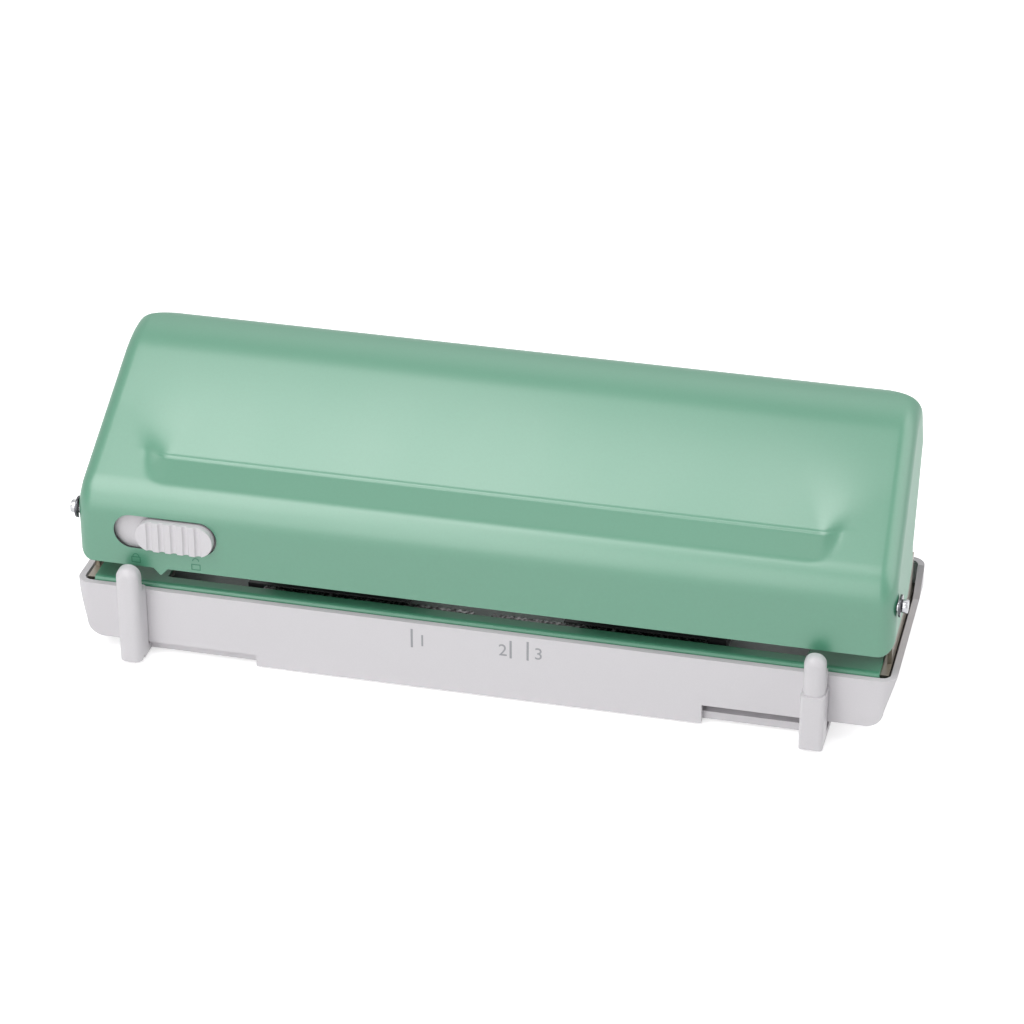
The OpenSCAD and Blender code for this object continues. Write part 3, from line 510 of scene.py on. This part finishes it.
def addFlange(obj, rows, side):
    # the end of the sheet is closed by a flat flange out to its rear outline
    edgePoints = [leverPoint(row, (side, "roll", math.pi / 2)) for row in rows]
    last = edgePoints[-1]
    pick(obj, "VERT", lambda v: (v.co - last).length < tiny * mm)
    before = last
    for y, z in lever["flange"]:
        point = at(side * leverHalfAt(z), y, z)
        bpy.ops.mesh.extrude_region_move(TRANSFORM_OT_translate={"value": point - before})
        before = point
    bpy.ops.mesh.select_mode(type="VERT")
    shape = bmesh.from_edit_mesh(obj.data)
    outline = edgePoints + [at(side * leverHalfAt(z), y, z) for y, z in lever["flange"]]
    for vert in shape.verts:
        vert.select_set(any((vert.co - point).length < tiny * mm for point in outline))
    shape.select_flush_mode()
    bmesh.update_edit_mesh(obj.data)
    bpy.ops.mesh.edge_face_add()
    leaveEdit()


def addSlotCutter(length, height, depth):
    # a flat-sided bar with half-round ends, through the lever's face
    x, z = lever["slotX"], lever["slotZ"]
    cutter = addBlock("slotCutter", (x - length / 2, -depth, z - height / 2),
                      (x + length / 2, depth, z + height / 2))
    bevelEdges(cutter, lambda e: runsAlong(e, 1), height / 2 - tiny, segments=14)
    return cutter


leverSheet = addLever()
thicken(leverSheet, lever["sheet"])
softenEdges(leverSheet, lever["edge"], angle=lever["edgeAngle"])
combine(leverSheet, addSlotCutter(lever["slotLength"], lever["slotHeight"], lever["cutDepth"]), "DIFFERENCE")
for side in (-1, 1):
    hole = addRod("pinCutter", (side * (leverHalf - lever["cutDepth"]), lever["pinY"], lever["pinZ"]),
                  (side * (leverHalf + lever["cutDepth"]), lever["pinY"], lever["pinZ"]), lever["pinHole"])
    combine(leverSheet, hole, "DIFFERENCE")
smooth(leverSheet, lever["smoothAngle"])
dress(leverSheet, "lever", "green_paint", finishes["greenPaint"], "lever_shell")
leverSheet.data.materials.append(finishes["blackSteelAndSlotShade"])
for face in leverSheet.data.polygons:  # the slot's cut edge gets the dark finish: painted shade for the shadow gap round the lock's cap
    place = (face.center - at(lever["slotX"], lever["frontY"] + lever["sheet"] / 2, lever["slotZ"])) / mm
    inSlot = abs(place.x) < lever["slotLength"] / 2 and abs(place.z) < lever["slotHeight"] * 0.51
    if inSlot and abs(place.y) < lever["sheet"] and abs(face.normal.y) < 0.3:
        face.material_index = 1
print("lever pressed:", len(leverSheet.data.polygons), "faces")


bodyOf = {node: body for body, nodes in frame["record"]["behaviour"]["bodies"].items() for node in nodes}


# Tray: the moulded shell with every edge eased

tray = {"ease": 0.8, "steps": 3}
trayShell = softCopy("base_tray", "trayShell", tray["ease"], tray["steps"])
dress(trayShell, "tray", "white_plastic", finishes["whitePlastic"], "base_tray")
print("tray eased:", len(trayShell.data.polygons), "faces")


# Bed: a painted sheet with a long slot and a front lip bent down behind the tray's wall

bed = {"lip": 5.0, "sheet": 1.2, "bend": 1.8, "bendSteps": 6, "slotHalf": 108.0, "slotFront": 8.6,
       "slotRear": 58.5, "ease": 0.3}


def addBed():
    low, high = benchBox("bed_plate")
    deselectAll()
    a, b = at(low.x, low.y, high.z), at(*high)
    bpy.ops.mesh.primitive_plane_add(size=1, location=(a + b) / 2)
    obj = bpy.context.object
    obj.name = "bedSheet"
    obj.scale = (b.x - a.x, b.y - a.y, 1)
    bpy.ops.object.transform_apply(location=True, rotation=True, scale=True)
    cuts = [((side * bed["slotHalf"], 0, 0), (1, 0, 0)) for side in (-1, 1)]
    cuts += [((0, y, 0), (0, 1, 0)) for y in (bed["slotFront"], bed["slotRear"])]
    for place, facing in cuts:
        pick(obj, "FACE", lambda face: True)
        bpy.ops.mesh.bisect(plane_co=at(*place), plane_no=facing)
        leaveEdit()
    slotMiddle = at(0, (bed["slotFront"] + bed["slotRear"]) / 2, high.z)
    pick(obj, "FACE", lambda face: (face.calc_center_median() - slotMiddle).length < 1 * mm)
    bpy.ops.mesh.delete(type="FACE")
    leaveEdit()
    pick(obj, "EDGE", lambda edge: runsAlong(edge, 0) and near(middle(edge).y, low.y))
    bpy.ops.mesh.extrude_region_move(TRANSFORM_OT_translate={"value": (0, 0, -bed["lip"] * mm)})
    leaveEdit()
    bevelEdges(obj, lambda edge: runsAlong(edge, 0) and near(middle(edge).y, low.y) and
               near(middle(edge).z, high.z), bed["bend"], bed["bendSteps"])
    cleanMesh(obj)
    thicken(obj, bed["sheet"])
    softenEdges(obj, bed["ease"])
    smooth(obj)
    return obj


bedSheet = dress(addBed(), "frame", "green_paint", finishes["bedPaint"], "bed_plate")
print("bed bent:", len(bedSheet.data.polygons), "faces")


# Paper guides: round-tipped fingers on flat bars that slide under the tray

guide = {
    "tipFlat": 0.15, "front": 2.9, "footCorner": 2.2, "footRound": 1.6, "backEase": 1.4, "ease": 0.45,
    "relief": -3.9, "reliefZ": 27.7, "back": -0.3, "lap": 0.6,
    "barY": (2.5, 11.5), "barZ": (1.22, 4.0), "pegStep": 0.45,
}


def addFinger(name, x0, x1, yFront, z0, z1):
    # the slim upright of a guide, with a round tip and rounded front corners
    obj = addBlock(name, (x0, yFront, z0), (x1, guide["relief"], z1))
    tip = (x1 - x0) / 2 - guide["tipFlat"]
    bevelEdges(obj, lambda edge: runsAlong(edge, 1) and near(middle(edge).z, z1), tip, 10)
    bevelEdges(obj, lambda edge: middle(edge).y < yFront + 0.05 and middle(edge).z > z0 + 0.05,
               guide["front"], 5)
    return obj


def addRunner(obj, x0, x1, barFrom, barTo):
    # the foot under an upright and the flat bar behind it
    (y0, y1), (z0, z1) = guide["barY"], guide["barZ"]
    combine(obj, addBlock("guideFoot", (x0, guide["back"] - guide["lap"], z0), (x1, y1, z1)), "UNION")
    combine(obj, addBlock("guideRunner", (barFrom, y0, z0), (barTo, y1, z1)), "UNION")


def addGuide(name, node, x0, x1, barEnd, fingerTop, blockTop):
    low, high = benchBox(node)
    front = low.y
    obj = addFinger(name, x0, x1, front, low.z, fingerTop)
    bevelEdges(obj, lambda edge: runsAlong(edge, 1) and near(middle(edge).z, low.z), guide["footCorner"], 6)
    bevelEdges(obj, lambda edge: near(middle(edge).z, low.z, 1.5) and near(middle(edge).y, front),
               guide["footRound"], 4)
    back = addBlock("guideBack", (x0, guide["relief"] - guide["lap"], low.z), (x1, guide["back"], blockTop))
    bevelEdges(back, lambda edge: near(middle(edge).z, blockTop) and middle(edge).y > guide["relief"],
               guide["backEase"], 4)
    combine(obj, back, "UNION")
    addRunner(obj, x0, x1, min(x0, barEnd), max(x1, barEnd))
    return easeAll(obj, guide["ease"])


leftLow, leftHigh = benchBox("left_paper_guide")
sleeveLow, sleeveHigh = benchBox("right_guide_bar")
pegLow, pegHigh = benchBox("right_guide_peg")
fingerWidth = pegHigh.x - pegLow.x
leftGuide = addGuide("leftPaperGuide", "left_paper_guide", leftLow.x, leftLow.x + fingerWidth, leftHigh.x,
                     leftHigh.z, guide["reliefZ"])
dress(leftGuide, "left_guide", "white_plastic", finishes["whitePlastic"], "left_paper_guide")


def addSleeve():
    # the right guide's square sleeve, which the peg stands in
    obj = addBlock("rightGuideBar", (pegLow.x, sleeveLow.y, sleeveLow.z),
                   (pegHigh.x, guide["back"], sleeveHigh.z))
    bevelEdges(obj, lambda edge: runsAlong(edge, 2) and near(middle(edge).y, sleeveLow.y), guide["front"] / 2, 4)
    bevelEdges(obj, lambda edge: runsAlong(edge, 0) and near(middle(edge).y, sleeveLow.y) and
               near(middle(edge).z, sleeveLow.z), guide["footRound"], 4)
    addRunner(obj, pegLow.x, pegHigh.x, sleeveLow.x, sleeveHigh.x)
    return easeAll(obj, guide["ease"])


def addPeg():
    step = guide["pegStep"]
    x0, x1, front = pegLow.x + step, pegHigh.x - step, sleeveLow.y + step
    obj = addFinger("rightGuidePeg", x0, x1, front, sleeveHigh.z, pegHigh.z)
    back = addBlock("pegBack", (x0, guide["relief"] - guide["lap"], sleeveHigh.z),
                    (x1, guide["back"], guide["reliefZ"]))
    combine(obj, back, "UNION")
    return easeAll(obj, guide["ease"])


dress(addSleeve(), "right_guide", "white_plastic", finishes["whitePlastic"], "right_guide_bar")
dress(addPeg(), "right_guide", "white_plastic", finishes["whitePlastic"], "right_guide_peg")
print("guides made")


# Lock: a grooved thumb cap over a plate that shows in the slot

lock = {"grooves": 5, "groovePitch": 4.15, "grooveWidth": 2.2, "grooveDepth": 0.8, "ease": 0.4,
        "plateEase": 0.2, "plateBack": 0.9}


def addLockCap():
    low, high = benchBox("lock_cap")
    obj = addBlock("lockCap", low, high)
    bevelEdges(obj, lambda edge: runsAlong(edge, 1), (high.z - low.z) / 2 - tiny, 14)
    # a scoop of the wanted width and depth comes from a round cutter of this radius
    radius = (lock["grooveWidth"] ** 2 / 4 + lock["grooveDepth"] ** 2) / (2 * lock["grooveDepth"])
    for i in range(lock["grooves"]):
        x = (low.x + high.x) / 2 + (i - (lock["grooves"] - 1) / 2) * lock["groovePitch"]
        y = low.y + lock["grooveDepth"] - radius
        scoop = addRod("scoop", (x, y, low.z - 1), (x, y, high.z + 1), 2 * radius, 40)
        combine(obj, scoop, "DIFFERENCE")
    return easeAll(obj, lock["ease"], 3, 28)


dress(addLockCap(), "lock", "white_plastic", finishes["whitePlastic"], "lock_cap")
lockPlate = softCopy("lock_plate", "lockPlate", lock["plateEase"])
plateFront = benchBox("lock_plate")[0].y
pick(lockPlate, "VERT", lambda vert: near((vert.co.y - frontY) / mm, plateFront, lock["plateBack"]))
bpy.ops.transform.translate(value=(0, lock["plateBack"] * mm, 0))
leaveEdit()
dress(lockPlate, "lock", "white_plastic", finishes["whitePlastic"], "lock_plate")
print("lock made")


# Return springs: one wound wire, copied to each punch

spring = {"wire": 0.9, "curls": 4.5, "sides": 12, "stepsPerCurl": 28}


def windSpring():
    # wound once around the Z axis, standing on the origin
    low, high = benchBox("left_spring_1")
    wire, steps = spring["wire"], round(spring["curls"] * spring["stepsPerCurl"])
    deselectAll()
    bpy.ops.mesh.primitive_circle_add(vertices=spring["sides"], radius=wire * mm / 2,
                                      location=((high.x - low.x - wire) / 2 * mm, 0, wire * mm / 2),
                                      rotation=(math.pi / 2, 0, 0))
    obj = bpy.context.object
    bpy.ops.object.transform_apply(location=True, rotation=True, scale=True)
    applyModifier(obj, "SCREW", axis="Z", angle=2 * math.pi * spring["curls"], steps=steps, render_steps=steps,
                  screw_offset=(high.z - low.z - wire) * mm)
    pick(obj, "EDGE", lambda edge: edge.is_boundary)
    bpy.ops.mesh.fill_holes(sides=0)
    leaveEdit()
    cleanMesh(obj)
    smooth(obj, 50)
    return obj


def placeSpring(wound, side, i):
    node, joint = f"{side}_spring_{i}", f"{side}_punch_{i}_stroke"
    low, high = benchBox(node)
    makeActive(wound)
    bpy.ops.object.duplicate()
    obj = bpy.context.object
    obj.name = f"{side}Spring{i}"
    foot = at((low.x + high.x) / 2, (low.y + high.y) / 2, low.z)
    obj.location = foot
    bpy.ops.object.transform_apply(location=True, rotation=True, scale=True)
    dress(obj, bodyOf[node], "bright_steel", finishes["brightSteel"], node)
    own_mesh(obj)


woundSpring = windSpring()
for side in ("left", "right"):
    for i in (1, 2, 3):
        placeSpring(woundSpring, side, i)
bpy.data.objects.remove(woundSpring)
print("springs wound")


# Pivot clips: open rings pushed onto the pins' grooves

clip = {"outer": 7.4, "bore": 3.5, "mouth": 2.8, "thick": 0.76, "gap": 0.42, "ease": 0.12, "pinEase": 0.4}


def addPivotClips():
    rings = []
    clipInner = leverHalf + clip["gap"]
    for side in (-1, 1):
        x0, x1 = sorted((side * clipInner, side * (clipInner + clip["thick"])))
        y, z = lever["pinY"], lever["pinZ"]
        ring = addRod("pivotRing", (x0, y, z), (x1, y, z), clip["outer"], 40)
        combine(ring, addRod("bore", (x0 - 1, y, z), (x1 + 1, y, z), clip["bore"], 32), "DIFFERENCE")
        half = clip["mouth"] / 2
        mouth = addBlock("mouth", (x0 - 1, y - half, z - clip["outer"]), (x1 + 1, y + half, z))
        combine(ring, mouth, "DIFFERENCE")
        softenEdges(ring, clip["ease"])
        rings.append(ring)
    joined = joinPieces("pivotClips", rings)
    smooth(joined)
    return joined


dress(addPivotClips(), "frame", "bright_steel", finishes["clipSteel"], "pivot_clips")
for side in ("left", "right"):
    pin = softCopy(f"{side}_pivot_pin", f"{side}PivotPin", clip["pinEase"], 3)
    dress(pin, "frame", "bright_steel", finishes["brightSteel"], f"{side}_pivot_pin")
print("pivots made")


# Inside parts and fasteners keep their shape: some with eased edges, the rest with only a new finish

eased = {
    "chassis": ("chassisSheet", 0.25, "bare_steel", "bareSteel"),
    "left_carriage": ("leftCarriage", 0.5, "black_steel", "blackSteelAndSlotShade"),
    "right_carriage": ("rightCarriage", 0.5, "black_steel", "blackSteelAndSlotShade"),
    "rubber_feet": ("rubberFeet", 0.5, "rubber", "rubber"),
    "guide_keepers": ("guideKeepers", 0.15, "bare_steel", "bareSteel"),
    "keeper_screws": ("keeperScrews", 0.1, "bare_steel", "bareSteel"),
    "bed_screws": ("bedScrews", 0.35, "bright_steel", "brightSteel"),
    "press_bar": ("pressBar", 0.5, "bare_steel", "bareSteel"),
    "guide_rod": ("guideRod", 0.4, "bright_steel", "brightSteel"),
}
for node, (name, width, slotName, finishName) in eased.items():
    dress(softCopy(node, name, width), bodyOf[node], slotName, finishes[finishName], node)

plainFinish = {"rod_clips": "blackSteelAndSlotShade", "lock_keeper": "bareSteel", "left_rack": "rackSteelPaintedGlints",
               "right_rack": "rackSteelPaintedGlints", "left_plunger": "brightSteel", "right_plunger": "brightSteel"}
for side in ("left", "right"):
    for i in (1, 2, 3):
        plainFinish[f"{side}_punch_{i}"] = "brightSteel"
        plainFinish[f"{side}_cap_{i}"] = "bareSteel"
for node, finishName in plainFinish.items():
    slots = frame["nodes"][node].data.materials
    slots.clear()
    slots.append(finishes[finishName])
print("inside parts dressed")


# Marks: ticks and plain numbers on the tray's front wall, lock signs and a pointer on the lever

marks = {
    "ticks": [(-21.6, 15.7, 22.7), (11.8, 16.2, 22.9), (17.5, 16.2, 23.3)], "tickWidth": 0.75, "proud": 0.05,
    "numbers": [("1", -19.6, 16.6), ("2", 7.6, 16.9), ("3", 19.6, 17.1)], "numberSize": 6.2,
    "locks": [(-116.0, 37.2, 0.0), (-95.2, 37.0, 1.1)], "lockWidth": 3.2, "lockHeight": 2.3, "line": 0.32,
    "shackle": 0.75, "sunk": 0.2,
    "arrowX": -107.7, "arrowHalf": 3.0, "arrowDrop": 2.6, "arrowTip": 0.08, "arrowLap": 0.4, "arrowEase": 0.2,
}


def addTicks():
    bars = []
    for x, z0, z1 in marks["ticks"]:
        bar = addBlock("tick", (x - marks["tickWidth"] / 2, -marks["proud"], z0),
                       (x + marks["tickWidth"] / 2, marks["proud"], z1))
        softenEdges(bar, marks["proud"] / 2, 1)
        bars.append(bar)
    return joinPieces("scaleTicks", bars)


def addNumbers():
    digits = []
    for word, x, z in marks["numbers"]:
        deselectAll()
        bpy.ops.object.text_add(location=at(x, -marks["proud"] / 2, z), rotation=(math.pi / 2, 0, 0))
        digit = bpy.context.object
        digit.data.body = word
        digit.data.size = marks["numberSize"] * mm
        digit.data.extrude = marks["proud"] * mm / 2
        bpy.ops.object.convert(target="MESH")
        bpy.ops.object.transform_apply(location=True, rotation=True, scale=True)
        digits.append(bpy.context.object)
    return joinPieces("scaleNumbers", digits)


def addLockSign(x, z, lift):
    # a small padlock outline: a square frame and a half-ring shackle, lifted when open
    w, h, line = marks["lockWidth"], marks["lockHeight"], marks["line"]
    face, ring, foot = lever["frontY"], marks["lockWidth"] * marks["shackle"], z + lift
    front, rear = face - marks["proud"], face + marks["sunk"]
    body = addBlock("padlock", (x - w / 2, front, z - h), (x + w / 2, rear, z))
    window = addBlock("padlockHole", (x - w / 2 + line, face - 1, z - h + line),
                      (x + w / 2 - line, face + 1, z - line))
    combine(body, window, "DIFFERENCE")
    shackle = addRod("shackle", (x, front, foot), (x, rear, foot), ring, 28)
    combine(shackle, addRod("hole", (x, face - 1, foot), (x, face + 1, foot), ring - 2 * line, 24), "DIFFERENCE")
    combine(shackle, addBlock("lower", (x - w, face - 1, foot - w), (x + w, face + 1, foot)), "DIFFERENCE")
    return joinPieces("padlockSign", [body, shackle])


def addPointer():
    # a small tab under the lever's lower edge that narrows to a point
    x, half = marks["arrowX"], marks["arrowHalf"]
    y0, y1 = lever["frontY"] + 0.1, lever["frontY"] + lever["sheet"] - 0.1
    obj = addBlock("lockPointer", (x - half, y0, leverBottom - marks["arrowDrop"]),
                   (x + half, y1, leverBottom + marks["arrowLap"]))
    pick(obj, "VERT", lambda vert: vert.co.z < at(0, 0, leverBottom - 1).z)
    bpy.ops.transform.resize(value=(marks["arrowTip"], 1, 1), center_override=at(x, 0, leverBottom))
    leaveEdit()
    softenEdges(obj, marks["arrowEase"])
    smooth(obj)
    return obj


dress(addTicks(), "tray", "white_plastic", finishes["greyPrint"])
dress(addNumbers(), "tray", "white_plastic", finishes["greyPrint"])
signs = joinPieces("lockSigns", [addLockSign(*place) for place in marks["locks"]])
dress(signs, "lever", "green_paint", finishes["darkMark"])
dress(addPointer(), "lever", "green_paint", finishes["greenPaint"])
print("marks placed")


# Camera, light and floor

stageSet = {
    "azimuth": 13.6, "elevation": 29.26, "distance": 1171.0, "target": (5.0, 30.0, 53.8), "focal": 3558.0,
    "sensor": 36.0, "imageWidth": 1024.0,
    "floorSize": 6.0, "floorColor": (0.86, 0.86, 0.86), "floorGlow": 0.62, "floorDrop": 0.0002,
    "worldLight": 0.18, "worldColor": (0.96, 0.98, 1.0), "lampAim": (0.0, 30.0, 45.0),
    "key": {"place": (-0.46, -0.56, 1.18), "size": (0.80, 1.15), "power": 10.2},
    "strip": {"place": (-0.32, -1.20, 0.50), "size": (0.84, 0.95), "power": 5.6},
    "fill": {"place": (1.20, 0.10, 0.90), "size": (1.5, 1.5), "power": 10.0},
    "back": {"place": (0.20, 0.80, 1.25), "size": (1.80, 0.80), "power": 3.2},
}


def addCamera():
    a, e = math.radians(stageSet["azimuth"]), math.radians(stageSet["elevation"])
    back = Vector((math.sin(a) * math.cos(e), -math.cos(a) * math.cos(e), math.sin(e)))
    deselectAll()
    target = at(*stageSet["target"])
    bpy.ops.object.camera_add(location=target + back * stageSet["distance"] * mm,
                              rotation=(-back).to_track_quat("-Z", "Y").to_euler())
    camera = bpy.context.object
    camera.data.sensor_width = stageSet["sensor"]
    camera.data.lens = stageSet["focal"] * stageSet["sensor"] / stageSet["imageWidth"]
    camera.data.clip_start = 0.05
    bpy.context.scene.camera = camera


def addLamp(name, place, size, power):
    deselectAll()
    aim = at(*stageSet["lampAim"]) - Vector(place)
    bpy.ops.object.light_add(type="AREA", location=place, rotation=aim.to_track_quat("-Z", "Y").to_euler())
    lamp = bpy.context.object
    lamp.name = name
    lamp.data.shape = "RECTANGLE"
    lamp.data.size, lamp.data.size_y = size
    lamp.data.energy = power


def addSeenMask(nodes, link):
    # 1 for rays from the camera and for mirrored and refracted ones, 0 for light that only brightens surfaces
    rays = nodes.new("ShaderNodeLightPath")
    mask = rays.outputs["Is Camera Ray"]
    for kind in ("Is Glossy Ray", "Is Transmission Ray"):
        more = nodes.new("ShaderNodeMath")
        more.operation = "MAXIMUM"
        link(mask, more.inputs[0])
        link(rays.outputs[kind], more.inputs[1])
        mask = more.outputs[0]
    return mask


def addFloor():
    deselectAll()
    bpy.ops.mesh.primitive_plane_add(size=stageSet["floorSize"], location=(0, 0, -stageSet["floorDrop"]))
    floor = bpy.context.object
    floor.name = "floor"
    finish = bpy.data.materials.new("paleFloor")
    finish.use_nodes = True
    nodes, link = finish.node_tree.nodes, finish.node_tree.links.new
    shader = nodes["Principled BSDF"]
    shader.inputs["Base Color"].default_value = (*stageSet["floorColor"], 1)
    shader.inputs["Roughness"].default_value = 0.9
    shader.inputs["Specular IOR Level"].default_value = 0.1
    glow = nodes.new("ShaderNodeEmission")
    glow.inputs["Strength"].default_value = stageSet["floorGlow"]
    both = nodes.new("ShaderNodeAddShader")
    choose = nodes.new("ShaderNodeMixShader")
    link(shader.outputs[0], both.inputs[0])
    link(glow.outputs[0], both.inputs[1])
    link(addSeenMask(nodes, link), choose.inputs["Fac"])
    link(shader.outputs[0], choose.inputs[1])
    link(both.outputs[0], choose.inputs[2])
    link(choose.outputs[0], nodes["Material Output"].inputs["Surface"])
    floor.data.materials.append(finish)


def setWorld():
    world = bpy.data.worlds.new("studio")
    world.use_nodes = True
    bpy.context.scene.world = world
    nodes, link = world.node_tree.nodes, world.node_tree.links.new
    light = nodes["Background"]
    light.inputs["Color"].default_value = (*stageSet["worldColor"], 1)
    light.inputs["Strength"].default_value = stageSet["worldLight"]
    white = nodes.new("ShaderNodeBackground")
    white.inputs["Color"].default_value = (1, 1, 1, 1)
    white.inputs["Strength"].default_value = 1
    choose = nodes.new("ShaderNodeMixShader")
    link(addSeenMask(nodes, link), choose.inputs["Fac"])
    link(light.outputs[0], choose.inputs[1])
    link(white.outputs[0], choose.inputs[2])
    link(choose.outputs[0], nodes["World Output"].inputs["Surface"])


addCamera()
lampNames = {"key": "keySoftbox", "strip": "frontStrip", "fill": "sideFill", "back": "backPanel"}
for lampKey, lampName in lampNames.items():
    addLamp(lampName, **stageSet[lampKey])
addFloor()
setWorld()
bpy.context.scene.view_settings.view_transform = "Standard"
print("camera and lights set")
